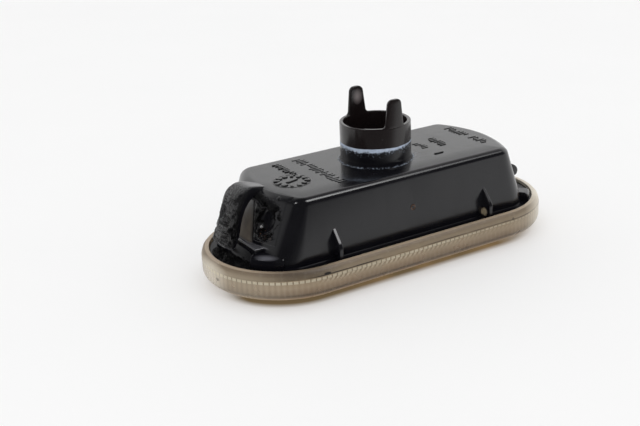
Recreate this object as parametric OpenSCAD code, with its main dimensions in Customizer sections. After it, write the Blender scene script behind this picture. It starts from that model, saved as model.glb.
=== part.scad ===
// Side repeater lamp, lying on its lens as a spare part lies on a bench.
// +X runs along the lamp, from the spring clip to the fixed hook. +Z points to the back of
// the lamp, out of the bulb collar. The origin is under the middle, on the resting face.
// Three pieces: a fluted lens tray, an amber filter tray inside it, and one black housing.

/* [Lens] */
// Length of the lens over its round ends
lens_length = 97; // [92:1:104]
// Width of the lens, which is also the diameter of its round ends
lens_width = 41.5; // [40:0.5:43]
// Height of the lens from its resting face to the back of its rim
lens_height = 9; // [8.6:0.2:10]
// Height of the crowned front edge, below the straight side wall
crown_height = 4.2; // [3.4:0.2:4.6]
// Exponent of the crowned edge: 2 is an ellipse and more is squarer
crown_power = 2.4; // [2:0.1:3]
// Thickness of the rim around the flange of the housing
rim_wall = 2; // [1.6:0.1:2.4]
// Thickness of the front wall of the lens
front_wall = 2; // [1.6:0.1:2.2]
// Depth of the vertical flutes inside the side wall
flute_depth = 0.55; // [0.3:0.05:0.7]
// Flutes along each straight side
side_flutes = 43; // [25:1:50]
// Flutes around each round end
end_flutes = 44; // [25:1:50]

/* [Housing] */
// Height of the flat back of the housing above the resting face
back_z = 24.8; // [23:0.2:27]
// Reach of the back towards the clip
back_left = 35; // [34:0.2:37]
// Reach of the back towards the hook
back_right = 35; // [34:0.2:37]
// Half the width of the back
back_half = 14.9; // [14:0.1:15.4]
// Radius in plan of the bowed end walls
end_bow = 28; // [24:1:36]
// How much wider each side wall is at its foot than at the back
side_taper = 0.8; // [0.4:0.1:1]
// How much further each end wall reaches at its foot
end_taper = 5.8; // [4:0.2:6.2]
// Radius in plan of the four upright corners at the back
corner_r = 3.4; // [3:0.1:4]
// How much that radius grows down to the foot
corner_growth = 4; // [3:0.2:5]
// Radius of the rounded edge around the back
edge_round = 1.7; // [1.2:0.1:2]
// Wall thickness of the housing
wall = 1.7; // [1.4:0.1:2]

/* [Bulb collar] */
// Outer radius of the collar
collar_r = 9; // [8.6:0.1:9.4]
// Radius of the bore that takes the bulb holder
bore_r = 8; // [7.6:0.1:8.1]
// Height of the collar above the back
collar_h = 9.9; // [9:0.1:11]
// Height of the two guide ears above the collar
ear_h = 7; // [6:0.2:8]
// Width of an ear at the collar
ear_foot = 5.4; // [5:0.1:6]
// Width of an ear near its tip
ear_tip = 3.7; // [3.4:0.1:4.2]

/* [Clip and hook] */
// Width of the spring clip
clip_width = 10; // [9:0.2:11]
// Thickness of the clip's leg at its free end
clip_leg = 1.7; // [1.5:0.1:2]
// Height of the clip's free end above the rim
clip_gap = 3.4; // [3:0.1:4]
// Width of the fixed hook
hook_width = 6; // [5:0.2:7]
// Gap between the rim and the underside of the hook, for the body panel
hook_gap = 2; // [1.8:0.1:2.4]

/* [Hidden] */
$fn = 96;
hull_fn = 32;
over = 0.5;

end_r = lens_width / 2;
end_x = (lens_length - lens_width) / 2;
rim_in = end_r - rim_wall;
flange_thick = 2;
seat_z = lens_height - flange_thick;
flange_z = lens_height - 0.7;
flange_gap = 0.1;
flute_out = end_r - 2.9;
rim_slope = 0.55;
flat_half = 8;
floor_ridge = 0.6;
collar_top = back_z + collar_h;
rib_x = 22.7;
rib_thick = 1.1;
rib_out = rim_in - 0.3;

// A shape given as a half section, r across and z up, carried round the lamp's outline.
module around_outline() {
    for (turn = [0, 180])
        rotate(turn)
            translate([end_x, 0, 0])
                rotate(-90)
                    rotate_extrude(angle = 180)
                        children();
    rotate([90, 0, 90])
        linear_extrude(2 * end_x, center = true) {
            children();
            mirror([1, 0])
                children();
        }
}

// The lamp's outline in plan: two round ends, r in radius, joined by straight sides.
module outline(r) {
    square([2 * end_x, 2 * r], center = true);
    for (side = [-1, 1])
        translate([side * end_x, 0])
            circle(r);
}

// Height of the crowned front face at a distance from the lamp's centreline.
function crown_z(r, power = crown_power) =
    let (t = max(0, (r - flat_half) / (end_r - flat_half)))
    crown_height * (1 - pow(max(0, 1 - pow(t, power)), 1 / power));

// Outer half section of the lens, from the flat middle of its face to the inside of its rim.
crown_steps = 10;
lens_section = concat(
    [[0, 0]],
    [for (i = [0:crown_steps])
        let (t = sin(90 * i / crown_steps), r = flat_half + (end_r - flat_half) * t)
        [r, crown_z(r)]],
    [[end_r, seat_z + 0.2],
     [end_r - rim_slope * 0.6, lens_height - 0.7],
     [end_r - rim_slope - 0.35, lens_height - 0.12],
     [end_r - rim_slope - 0.7, lens_height],
     [0, lens_height]]);

// Outline of the fluted inside wall: a ring of V-shaped flutes of even pitch.
function flute_r(half_step) = flute_out - (half_step % 2 == 0 ? 0 : flute_depth);
fluted_outline = concat(
    [for (i = [0:2 * end_flutes - 1])
        let (a = -90 + 180 * i / (2 * end_flutes))
        [end_x + flute_r(i) * cos(a), flute_r(i) * sin(a)]],
    [for (i = [0:2 * side_flutes - 1])
        [end_x - 2 * end_x * i / (2 * side_flutes), flute_r(i)]],
    [for (i = [0:2 * end_flutes - 1])
        let (a = 90 + 180 * i / (2 * end_flutes))
        [-end_x + flute_r(i) * cos(a), flute_r(i) * sin(a)]],
    [for (i = [0:2 * side_flutes - 1])
        [-end_x + 2 * end_x * i / (2 * side_flutes), -flute_r(i)]]);

// Zigzag floor of the lens inside, whose ridges run across the lamp and spread the light.
ridge_count = 28;
ridge_half = 42;
ridge_line = concat(
    [for (i = [0:2 * ridge_count])
        [-ridge_half + ridge_half * i / ridge_count, front_wall + (i % 2 == 0 ? 0 : floor_ridge)]],
    [[ridge_half, lens_height], [-ridge_half, lens_height]]);

module lens() {
    fluted_z = crown_height - 0.4;
    color([0.62, 0.57, 0.47, 0.6])
        difference() {
            around_outline()
                polygon(lens_section);
            translate([0, 0, fluted_z])
                linear_extrude(seat_z - fluted_z + 0.01)
                    polygon(fluted_outline);
            intersection() {
                rotate([90, 0, 0])
                    linear_extrude(2 * end_r, center = true)
                        polygon(ridge_line);
                linear_extrude(fluted_z + 0.01)
                    outline(flute_out - 2.2);
            }
            translate([0, 0, seat_z])
                linear_extrude(flange_thick + over)
                    outline(rim_in);
        }
}

// Plan of the housing's box: straight sides and bowed ends. grow moves every wall outwards,
// reach moves only the end walls, and corner is the radius of the corners.
module box_plan(grow, reach, corner = corner_r) {
    half = back_half + grow;
    left = back_left + grow + reach;
    right = back_right + grow + reach;
    bow = end_bow + grow;
    offset(r = corner, $fn = hull_fn)
        offset(delta = -corner)
            intersection() {
                bowed_end(left, bow, half);
                mirror([1, 0])
                    bowed_end(right, bow, half);
            }
}

// A long strip whose end, towards -X, is bowed outwards.
module bowed_end(end, bow, half) {
    intersection() {
        union() {
            translate([bow - end, 0])
                circle(bow, $fn = 128);
            translate([bow - end, -half])
                square([2 * lens_length, 2 * half]);
        }
        translate([-end, -half])
            square([2 * lens_length, 2 * half]);
    }
}

module slab(z, grow, reach, corner = corner_r) {
    translate([0, 0, z])
        linear_extrude(0.01)
            box_plan(grow, reach, corner);
}

// A tapered box with a rounded edge round its top, from foot_z up to top_z.
module tapered_box(foot_z, top_z, inset, edge) {
    rise = (back_z - foot_z) / (back_z - lens_height);
    hull() {
        slab(foot_z, side_taper * rise - inset, (end_taper - side_taper) * rise,
             corner_r + corner_growth * rise - inset);
        for (a = [0:22.5:90])
            slab(top_z - edge + edge * sin(a) - 0.01, -inset - edge * (1 - cos(a)), 0,
                 corner_r - inset * 0.6);
    }
}

// The concave foot of the walls, as two flaring steps.
module foot_cove() {
    reach = end_taper - side_taper;
    corner = corner_r + corner_growth;
    hull() {
        slab(flange_z - 0.3, side_taper + 1, reach, corner + 1);
        slab(flange_z + 0.25, side_taper + 0.5, reach, corner + 0.5);
    }
    hull() {
        slab(flange_z + 0.2, side_taper + 0.55, reach, corner + 0.5);
        slab(flange_z + 1, side_taper * 0.95, reach * 0.95, corner - 0.1);
    }
}

// The collar's two guide ears: parts of its own wall, tapered and rounded at the tip.
module ear_outline() {
    tip_r = 1.2;
    foot_r = 0.8;
    polygon([[-ear_foot / 2 - foot_r, -over], [-ear_foot / 2 - foot_r, 0],
             [-ear_foot / 2 - 0.24 * foot_r, 0.24 * foot_r], [-ear_foot / 2, foot_r],
             [-ear_tip / 2, ear_h - tip_r], [-ear_tip / 2 + 0.3 * tip_r, ear_h - 0.3 * tip_r],
             [-ear_tip / 2 + tip_r, ear_h], [ear_tip / 2 - tip_r, ear_h],
             [ear_tip / 2 - 0.3 * tip_r, ear_h - 0.3 * tip_r], [ear_tip / 2, ear_h - tip_r],
             [ear_foot / 2, foot_r], [ear_foot / 2 + 0.24 * foot_r, 0.24 * foot_r],
             [ear_foot / 2 + foot_r, 0], [ear_foot / 2 + foot_r, -over]]);
}

module collar() {
    translate([0, 0, back_z - wall])
        cylinder(r = collar_r, h = collar_h + wall);
    // A small weld-like flare where the collar meets the back.
    translate([0, 0, back_z - 0.01])
        cylinder(r1 = collar_r + 0.5, r2 = collar_r, h = 0.5);
    intersection() {
        translate([0, 0, collar_top - over])
            cylinder(r = collar_r, h = ear_h + 2 * over);
        translate([0, 0, collar_top])
            rotate([90, 0, 0])
                linear_extrude(2 * collar_r + 2, center = true)
                    ear_outline();
    }
}

// Triangular gussets that stiffen the long walls and centre the lamp in its cut-out.
module gussets() {
    wall_y = back_half - wall / 2;
    rib_low = 3.5;
    rib_high = 7.3;
    for (x = [-rib_x, rib_x], side = [-1, 1])
        translate([x, 0, lens_height])
            rotate([90, 0, 90])
                linear_extrude(rib_thick, center = true)
                    polygon([[side * wall_y, -1], [side * rib_out, -1],
                             [side * rib_out, rib_low], [side * wall_y, rib_high]]);
}

// Half section of the spring clip, r out from the centre of the lamp's round end: a leg that
// rises from its free end, bends over and runs into the top of the end wall.
clip_low = lens_height + clip_gap;
clip_section = [
    [18.8, clip_low], [18.3, clip_low + 0.8], [17.5, clip_low + 3], [16.3, clip_low + 7.4],
    [15.5, clip_low + 9.5], [14.4, clip_low + 11.4], [12.8, clip_low + 12.8],
    [10.8, clip_low + 13.5], [8.4, clip_low + 13.3], [6.6, clip_low + 12.6],
    [5.2, clip_low + 12.1], [5.2, clip_low + 10.2], [8.8, clip_low + 10.6],
    [10.4, clip_low + 10.4],
    [12, clip_low + 9.8], [13.2, clip_low + 8.6], [14.2, clip_low + 7], [15.8, clip_low + 3],
    [16.7, clip_low + 0.9], [18.8 - clip_leg, clip_low]];

module spring_clip() {
    spread = 2 * asin(clip_width / 2 / 17);
    translate([-end_x, 0, 0])
        rotate(180 - spread / 2)
            rotate_extrude(angle = spread)
                polygon(clip_section);
    // The worn root of the clip runs on round the end wall's top edge.
    translate([-end_x, 0, 0])
        rotate(180 + spread / 2 - 2)
            rotate_extrude(angle = 32)
                polygon([[5.2, clip_low + 7.8], [10.2, clip_low + 8], [9.8, clip_low + 10.2],
                         [8.6, clip_low + 11.3], [5.2, clip_low + 11.4]]);
    // A ledge along the foot of the end wall, under the arch.
    translate([0, 0, flange_z - 0.5])
        linear_extrude(4.7)
            polygon([[-37, -11], [-40.6, -11], [-42.1, -9], [-42.1, 9], [-40.6, 11], [-37, 11]]);
}

// The fixed hook at the other end: it rises from the flange and reaches out over the panel.
module fixed_hook() {
    low = lens_height + hook_gap;
    rotate([90, 0, 0])
        linear_extrude(hook_width, center = true)
            polygon([[36, flange_z - 1], [41.2, flange_z - 1], [41.6, low], [44.8, low],
                     [45.4, low + 1.3], [44.9, low + 2.7], [43.8, low + 3.9], [40.6, low + 4.9],
                     [36, low + 4.9]]);
}

// Raised stops on the flange that follow the round ends of the cut-out.
module flange_stops() {
    for (side = [-1, 1])
        translate([-end_x, 0, 0])
            rotate(180 + side * 45.5 - 14.5)
                rotate_extrude(angle = 29)
                    polygon([[9, flange_z - 1], [16.9, flange_z - 1], [16.9, flange_z + 1.7],
                             [16.4, flange_z + 2.3], [15.4, flange_z + 2.7], [9, flange_z + 2.8]]);
    for (side = [-1, 1])
        translate([end_x, 0, 0])
            rotate(side * 47 - 7)
                rotate_extrude(angle = 14)
                    polygon([[9, flange_z - 1], [18.2, flange_z - 1], [18.2, flange_z + 1.5],
                             [17.6, flange_z + 2.1], [9, flange_z + 2.3]]);
}

// Raised mould marks on the back: a date dial with no letters, rows of plain bars, a dash.
mark_h = 0.3;
module mark_row(x, y_from, y_to, length, step) {
    for (y = [y_from:step:y_to])
        translate([x - length / 2, y - step * 0.3, back_z - 0.2])
            cube([length, step * 0.6, mark_h + 0.2]);
}

module mould_marks() {
    translate([-26.2, -2.6, back_z - 0.2]) {
        difference() {
            cylinder(r = 5, h = mark_h + 0.2);
            translate([0, 0, -1])
                cylinder(r = 4.3, h = 3);
        }
        for (a = [0:30:330])
            rotate(a)
                translate([2.9, -0.25, 0])
                    cube([1.1, 0.5, mark_h + 0.2]);
        rotate(35)
            translate([-1.6, -0.3, 0])
                cube([3.2, 0.6, mark_h + 0.2]);
    }
    mark_row(-22.6, 3.6, 11.6, 1.7, 1.15);
    mark_row(-16.8, -9.4, 9.8, 1.5, 1.2);
    mark_row(14.6, -1.8, 2.8, 1.4, 1.15);
    mark_row(20, -2.2, 3.6, 1.8, 1.15);
    mark_row(29, -5.6, -2.2, 1.7, 1.15);
    mark_row(29, 0.2, 8.2, 1.7, 1.15);
    translate([13, -7.7, back_z - 0.2])
        cube([2.8, 0.6, mark_h + 0.2]);
}

module housing() {
    color([0.07, 0.07, 0.08])
        difference() {
            union() {
                translate([0, 0, seat_z])
                    linear_extrude(flange_z - seat_z)
                        outline(rim_in - flange_gap);
                foot_cove();
                tapered_box(flange_z - 0.2, back_z, 0, edge_round);
                collar();
                gussets();
                spring_clip();
                fixed_hook();
                flange_stops();
                mould_marks();
            }
            tapered_box(seat_z - 0.2, back_z - wall, wall, 0.6);
            translate([0, 0, back_z - wall - 1])
                cylinder(r = bore_r, h = wall + collar_h + ear_h + 2);
            // A small vent through the flange at the foot of one gusset on each side.
            for (side = [-1, 1])
                translate([-side * (rib_x - 1.2), side * 17.3, seat_z])
                    cube([1, 2, 9], center = true);
        }
}

// The amber filter: a shallow tray under the mouth of the housing, its lip on the flange.
module amber_filter() {
    tray_z = front_wall + floor_ridge + 0.5;
    lip = 1.1;
    skin = 1.2;
    color([0.85, 0.42, 0.05, 0.7])
        difference() {
            union() {
                translate([0, 0, seat_z - lip])
                    linear_extrude(lip)
                        square([70, 31], center = true);
                translate([0, 0, tray_z])
                    linear_extrude(seat_z - tray_z)
                        square([62, 24], center = true);
            }
            translate([0, 0, tray_z + skin])
                linear_extrude(seat_z)
                    square([62 - 2 * skin, 24 - 2 * skin], center = true);
        }
}

housing();
lens();
amber_filter();
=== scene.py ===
"""Side repeater lamp, lying on its lens: fluted smoked lens, black snap-in housing, amber filter."""

import bmesh
import bpy
import numpy as np
from mathutils import Matrix, Vector


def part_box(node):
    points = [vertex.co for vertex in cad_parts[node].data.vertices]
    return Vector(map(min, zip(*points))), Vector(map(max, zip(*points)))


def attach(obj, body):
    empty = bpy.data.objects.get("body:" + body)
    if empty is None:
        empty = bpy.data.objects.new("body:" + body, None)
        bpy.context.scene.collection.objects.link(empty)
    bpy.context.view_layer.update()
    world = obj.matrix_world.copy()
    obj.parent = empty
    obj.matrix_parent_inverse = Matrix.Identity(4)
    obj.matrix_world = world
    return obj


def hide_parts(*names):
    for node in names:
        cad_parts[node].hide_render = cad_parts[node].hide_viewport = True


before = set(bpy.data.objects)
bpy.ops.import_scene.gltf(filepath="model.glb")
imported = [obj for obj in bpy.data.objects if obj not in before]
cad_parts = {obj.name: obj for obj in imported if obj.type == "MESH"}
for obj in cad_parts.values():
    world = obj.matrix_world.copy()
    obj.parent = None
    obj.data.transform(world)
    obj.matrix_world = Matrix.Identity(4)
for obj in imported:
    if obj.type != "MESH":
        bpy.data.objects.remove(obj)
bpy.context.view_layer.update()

bl_info = {
    "name": "Side Repeater Lamp",
    "version": (1, 0, 0),
    "blender": (4, 5, 0),
    "location": "View3D > Sidebar > Repeater Lamp",
    "description": "Builds a side repeater lamp with its fluted lens, snap-in housing and studio",
    "category": "Add Mesh",
}

MM = 0.001

# The walls' bow and corners in plan, how much the corners' radius grows to the foot, and the back's round
BOW, CORNER, CORNER_GROWTH, ROUND_TOP = 28 * MM, 3.4 * MM, 4 * MM, 1.7 * MM
# How far the flange's seat in the lens lies below the rim
SEAT_DROP = 2 * MM
# The torn hole beside the clip, in millimetres on the end wall: its middle and its radii
HOLE, HOLE_RADII = (6.9, 18.5), (3.0, 3.2)
# The torn patch's edge inside the clip's arch, in millimetres: its distance from the middle, its height at
# the top, and how much it widens for each millimetre down
ARCH_SIDE, ARCH_TOP, ARCH_SLOPE = 1.9, 20.7, 0.357

LENS_LOW, LENS_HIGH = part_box("lens")
HOUSING_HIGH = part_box("housing")[1]


def user_length(name, description, default, low, high):
    """A length that a user may set, in metres."""
    return bpy.props.FloatProperty(
        name=name, description=description, default=float(default), min=low, max=high, unit="LENGTH")


def user_colour(name, description, default):
    """A colour that a user may set."""
    return bpy.props.FloatVectorProperty(
        name=name, description=description, default=(*default, 1.0), size=4, min=0.0, max=1.0,
        subtype="COLOR")


class LampSizes(bpy.types.PropertyGroup):
    """The lamp's driving sizes"""

    lens_length: user_length(
        "Lens length", "Length of the lens over its round ends", LENS_HIGH[0] - LENS_LOW[0], 0.06, 0.14)
    lens_width: user_length(
        "Lens width", "Width of the lens across its straight sides", LENS_HIGH[1] - LENS_LOW[1], 0.03, 0.06)
    lens_height: user_length(
        "Lens height", "Height of the lens from its resting face to its rim", LENS_HIGH[2], 0.006, 0.014)
    rim_wall: user_length(
        "Rim wall", "Thickness of the rim around the flange", 0.002, 0.001, 0.003)
    flange_drop: user_length(
        "Flange drop", "How far the flange lies below the top of the rim", 0.0007, 0.0, 0.0015)
    flute_depth: user_length(
        "Flute depth", "Depth of the upright flutes inside the lens wall", 0.0006, 0.0002, 0.001)
    flutes: bpy.props.IntProperty(
        name="Flutes", description="Number of flutes all round the lens", default=174, min=60, max=240)
    back_height: user_length(
        "Back height", "Height of the flat back of the housing", 0.0248, 0.02, 0.03)
    back_half: user_length(
        "Half width of the back", "Half the width of the housing at its back", 0.0149, 0.012, 0.017)
    back_reach: user_length(
        "Reach of the back", "Reach of the back towards each end of the lamp", 0.035, 0.03, 0.04)
    side_taper: user_length(
        "Side taper", "How much wider each side wall is at its foot", 0.0008, 0.0004, 0.001)
    end_taper: user_length(
        "End taper", "How much further each end wall reaches at its foot", 0.0058, 0.004, 0.0062)
    wall: user_length(
        "Wall", "Wall thickness of the housing", 0.0017, 0.001, 0.003)
    collar_radius: user_length(
        "Collar radius", "Outer radius of the bulb collar", 0.009, 0.008, 0.01)
    bore_radius: user_length(
        "Bore radius", "Radius of the bore for the bulb holder", 0.008, 0.007, 0.009)
    collar_top: user_length(
        "Collar top", "Height of the collar's rim", 0.0347, 0.03, 0.04)
    ear_top: user_length(
        "Ear top", "Height of the two guide ears", HOUSING_HIGH[2], 0.036, 0.05)


class LampColours(bpy.types.PropertyGroup):
    """The lamp's colours"""

    black: user_colour("Housing", "Black plastic of the housing", (0.0035, 0.0034, 0.0048))
    smoke: user_colour("Lens", "Smoked plastic of the lens", (0.43, 0.35, 0.24))
    amber: user_colour("Filter", "Amber plastic of the filter", (0.9, 0.33, 0.02))
    chalk: user_colour("Residue", "Dried white residue around the collar", (0.46, 0.54, 0.67))


def sizes():
    """The sizes set in the scene."""
    return bpy.context.scene.lamp_sizes


def colours():
    """The colours set in the scene."""
    return bpy.context.scene.lamp_colours


def end_centre():
    """How far the centres of the lamp's round ends lie from its middle."""
    return (sizes().lens_length - sizes().lens_width) / 2


# Surface tools

def grid_faces(rows, columns, closed_rows=False, closed_columns=True):
    """Quads between neighbouring points of a grid: row by column, wrapping round where it is closed."""
    i = np.arange(rows if closed_rows else rows - 1)
    j = np.arange(columns if closed_columns else columns - 1)
    i, j = np.meshgrid(i, j, indexing="ij")
    i2 = (i + 1) % rows
    j2 = (j + 1) % columns
    quads = np.stack([i * columns + j, i * columns + j2, i2 * columns + j2, i2 * columns + j], axis=-1)
    return quads.reshape(-1, 4)


def outward(points, faces):
    """Turns a closed shell's faces outwards: its volume, summed over triangles, has to be positive.

    A triangle is a quad whose last two corners are the same.
    """
    a, b, c = (points[faces[:, k]] for k in (0, 1, 2))
    volume = np.einsum("ij,ij->", a, np.cross(b, c))
    d = points[faces[:, 3]]
    volume += np.einsum("ij,ij->", a, np.cross(c, d))
    return faces if volume > 0 else faces[:, [1, 0, 3, 2]]


def shell(grid, closed_rows=False):
    """A closed shell from a grid whose rows are loops. End loops are closed to their middles."""
    rows, columns = grid.shape[:2]
    points = grid.reshape(-1, 3)
    faces = grid_faces(rows, columns, closed_rows)
    if not closed_rows:
        first, last = len(points), len(points) + 1
        points = np.vstack([points, grid[0].mean(axis=0), grid[-1].mean(axis=0)])
        j = np.arange(columns)
        j2 = (j + 1) % columns
        low = np.stack([np.full(columns, first), j2, j, j], axis=-1)
        base = (rows - 1) * columns
        high = np.stack([np.full(columns, last), base + j, base + j2, base + j2], axis=-1)
        faces = np.vstack([faces, low, high])
    return points, outward(points, faces)


def make_piece(name, shells, material, sharp, fields):
    """One mesh object from closed shells, smooth but for edges sharper than the angle in degrees.

    A face whose last two corners are the same becomes a triangle. Fields are values at the points.
    """
    points, faces, start = [], [], 0
    for shell_points, shell_faces in shells:
        points.append(shell_points)
        faces.append(shell_faces + start)
        start += len(shell_points)
    points = np.vstack(points)
    faces = np.vstack(faces)
    rows = [face[:3] if face[2] == face[3] else face for face in faces.tolist()]
    mesh = bpy.data.meshes.new(name)
    mesh.from_pydata(points.tolist(), [], rows)
    mesh.validate()
    mesh.shade_smooth()
    mesh.set_sharp_from_angle(angle=np.radians(sharp))
    for field, values in fields.items():
        layer = mesh.attributes.new(field, "FLOAT", "POINT")
        layer.data.foreach_set("value", np.asarray(values, dtype=np.float32))
    piece = bpy.data.objects.new(name, mesh)
    bpy.context.scene.collection.objects.link(piece)
    mesh.materials.append(material)
    return piece


def value_noise(points, size, seed):
    """Random lattice values, 32 to a side, joined by smoothstep blending in all three directions."""
    lattice = np.random.default_rng(seed).uniform(-1, 1, (32, 32, 32))
    cell = points / size
    low = np.floor(cell).astype(int)
    t = cell - low
    t = t * t * (3 - 2 * t)
    total = np.zeros(points.shape[:-1])
    for corner in np.ndindex(2, 2, 2):
        weight = np.prod(np.where(np.array(corner) == 1, t, 1 - t), axis=-1)
        index = (low + np.array(corner)) % 32
        total += weight * lattice[index[..., 0], index[..., 1], index[..., 2]]
    return total


def rough_noise(points, size, seed, octaves):
    """Value noise at halving sizes and halving heights, added up."""
    return sum(value_noise(points, size / 2 ** k, seed + k) / 2 ** k for k in range(octaves))


def rounded_outline(corners, cut):
    """A polygon whose corners are quadratic curves that start and end a cut's length from each corner."""
    corners = np.asarray(corners, dtype=float)
    back = np.roll(corners, 1, axis=0) - corners
    ahead = np.roll(corners, -1, axis=0) - corners
    cuts = np.broadcast_to(np.asarray(cut, dtype=float), len(corners))
    reach_back = np.minimum(cuts, 0.48 * np.linalg.norm(back, axis=1))
    reach_ahead = np.minimum(cuts, 0.48 * np.linalg.norm(ahead, axis=1))
    start = corners + back / np.linalg.norm(back, axis=1)[:, None] * reach_back[:, None]
    end = corners + ahead / np.linalg.norm(ahead, axis=1)[:, None] * reach_ahead[:, None]
    steps = 5
    t = np.linspace(0, 1, steps + 1)[None, :, None]
    curve = (1 - t) ** 2 * start[:, None] + 2 * t * (1 - t) * corners[:, None] + t ** 2 * end[:, None]
    return curve.reshape(-1, 2)


def resample(outline, count):
    """Points at even distances along a closed outline."""
    closed = np.vstack([outline, outline[:1]])
    run = np.concatenate([[0], np.cumsum(np.linalg.norm(np.diff(closed, axis=0), axis=1))])
    at = np.linspace(0, run[-1], count, endpoint=False)
    return np.stack([np.interp(at, run, closed[:, k]) for k in (0, 1)], axis=-1)


def inset(outline, distance):
    """The outline moved inwards along the normals of its edges."""
    edge = np.roll(outline, -1, axis=0) - np.roll(outline, 1, axis=0)
    area = np.sum(outline[:, 0] * np.roll(outline[:, 1], -1) - outline[:, 1] * np.roll(outline[:, 0], -1))
    normal = np.stack([-edge[:, 1], edge[:, 0]], axis=-1) * np.sign(area)
    return outline + normal / np.maximum(np.linalg.norm(normal, axis=1), 1e-12)[:, None] * distance


def slab(outline, low, high, bevel, place, layers=2):
    """A plate: an outline from one depth to another with quarter-round edges, set by a place function."""
    rounding = bevel * (1 - np.sin(np.linspace(0, np.pi / 2, 4)))
    sides = np.linspace(low + bevel, high - bevel, layers)
    depths = np.sort(np.concatenate([low + rounding, sides, high - rounding]))
    edge = np.minimum(np.minimum(depths - low, high - depths), bevel)
    steps = bevel - np.sqrt(np.maximum(bevel ** 2 - (bevel - edge) ** 2, 0))
    return shell(np.array([place(inset(outline, step), depth) for step, depth in zip(steps, depths)]))


def squircle(count, power):
    """A loop between -1 and 1 both ways that is squarer the smaller its power is."""
    a = np.linspace(0, 2 * np.pi, count, endpoint=False)
    u = np.sign(np.cos(a)) * np.abs(np.cos(a)) ** power
    v = np.sign(np.sin(a)) * np.abs(np.sin(a)) ** power
    return u, v


def revolve(section, count):
    """A closed section, radius and height, turned once round the Z axis."""
    a = np.linspace(0, 2 * np.pi, count, endpoint=False)[:, None]
    r = section[None, :, 0]
    z = np.broadcast_to(section[None, :, 1], (count, len(section)))
    grid = np.stack([r * np.cos(a), r * np.sin(a), z], axis=-1)
    return shell(grid, closed_rows=True)


# Plan curves of the housing, all with the same number of points so that they join into one surface

BOW_STEPS, CORNER_STEPS, SIDE_STEPS = 32, 18, 24


def level_loop(quarter, z):
    """A level closed loop from one quarter, from the X axis to the Y axis, mirrored to the other three."""
    upper = np.vstack([quarter, quarter[-2::-1] * (-1, 1)])
    lower = upper[-2:0:-1] * (1, -1)
    loop = np.vstack([upper, lower])
    return np.column_stack([loop, np.full(len(loop), z)])


def wall_arcs(reach, half, bow, corner):
    """Where a bowed end's arc meets the corner's: the bow's centre, the corner's centre and the angle."""
    centre = reach - bow
    corner_y = half - corner
    corner_x = centre + np.sqrt((bow - corner) ** 2 - corner_y ** 2)
    return centre, corner_x, corner_y, np.arctan2(corner_y, corner_x - centre)


def plan_quarter(reach, half, bow, corner):
    """A bowed end and its rounded corner: an arc of the bow's radius meets an arc of the corner's."""
    centre, corner_x, corner_y, join = wall_arcs(reach, half, bow, corner)
    a = np.linspace(0, join, BOW_STEPS, endpoint=False)
    b = np.linspace(join, np.pi / 2, CORNER_STEPS, endpoint=False)
    side = np.linspace(corner_x, 0, SIDE_STEPS // 2 + 1)
    return np.vstack([
        np.stack([centre + bow * np.cos(a), bow * np.sin(a)], axis=-1),
        np.stack([corner_x + corner * np.cos(b), corner_y + corner * np.sin(b)], axis=-1),
        np.stack([side, np.full_like(side, half)], axis=-1)])


def wall_plan(z, grow=0.0):
    """Reach, half width, bow radius and corner radius of the housing's walls at a height, grown outwards.

    The walls widen evenly towards the foot, and the radius of the corners more than doubles on the way.
    """
    size = sizes()
    down = (size.back_height - z) / (size.back_height - size.lens_height)
    return (size.back_reach + size.end_taper * down + grow, size.back_half + size.side_taper * down + grow,
            BOW + grow, np.maximum(CORNER + CORNER_GROWTH * down + grow, 0.4 * MM))


def wall_ring(z, grow=0.0):
    """The housing's walls in plan at a height, as a closed loop."""
    return level_loop(plan_quarter(*wall_plan(z, grow)), z)


def end_wall(along, z, out):
    """Points on the clip end's wall, a distance round from its middle to the near side, at a height.

    They lie out from the wall by a distance, along its direction in plan: the bow's or the corner's.
    """
    over = np.clip(z - sizes().back_height + ROUND_TOP, 0, ROUND_TOP)
    drawn_in = ROUND_TOP - np.sqrt(ROUND_TOP ** 2 - over ** 2)
    reach, half, bow, corner = wall_plan(z)
    centre, corner_x, corner_y, join = wall_arcs(reach, half, bow, corner)
    on_bow = along < bow * join
    turn = np.where(on_bow, along / bow, join + (along - bow * join) / corner)
    radius = np.where(on_bow, bow, corner) + (out - drawn_in)
    x = np.where(on_bow, centre, corner_x) + radius * np.cos(turn)
    y = np.where(on_bow, 0, corner_y) + radius * np.sin(turn)
    return np.stack([-x, -y, z + 0 * x], axis=-1)


def stadium_ring(radius, z):
    """The lamp's outline at a radius and height: two round ends joined by straight sides."""
    end_x = end_centre()
    a = np.linspace(0, np.pi / 2, BOW_STEPS + CORNER_STEPS, endpoint=False)
    side = np.linspace(end_x, 0, SIDE_STEPS // 2 + 1)
    quarter = np.vstack([np.stack([end_x + radius * np.cos(a), radius * np.sin(a)], axis=-1),
                         np.stack([side, np.full_like(side, radius)], axis=-1)])
    return level_loop(quarter, z)


def circle_ring(radius, z, like):
    """A circle whose points lie in the same directions as another ring's."""
    a = np.arctan2(like[:, 1], like[:, 0])
    return np.column_stack([radius * np.cos(a), radius * np.sin(a), np.full(len(like), z)])


# Node materials

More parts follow.
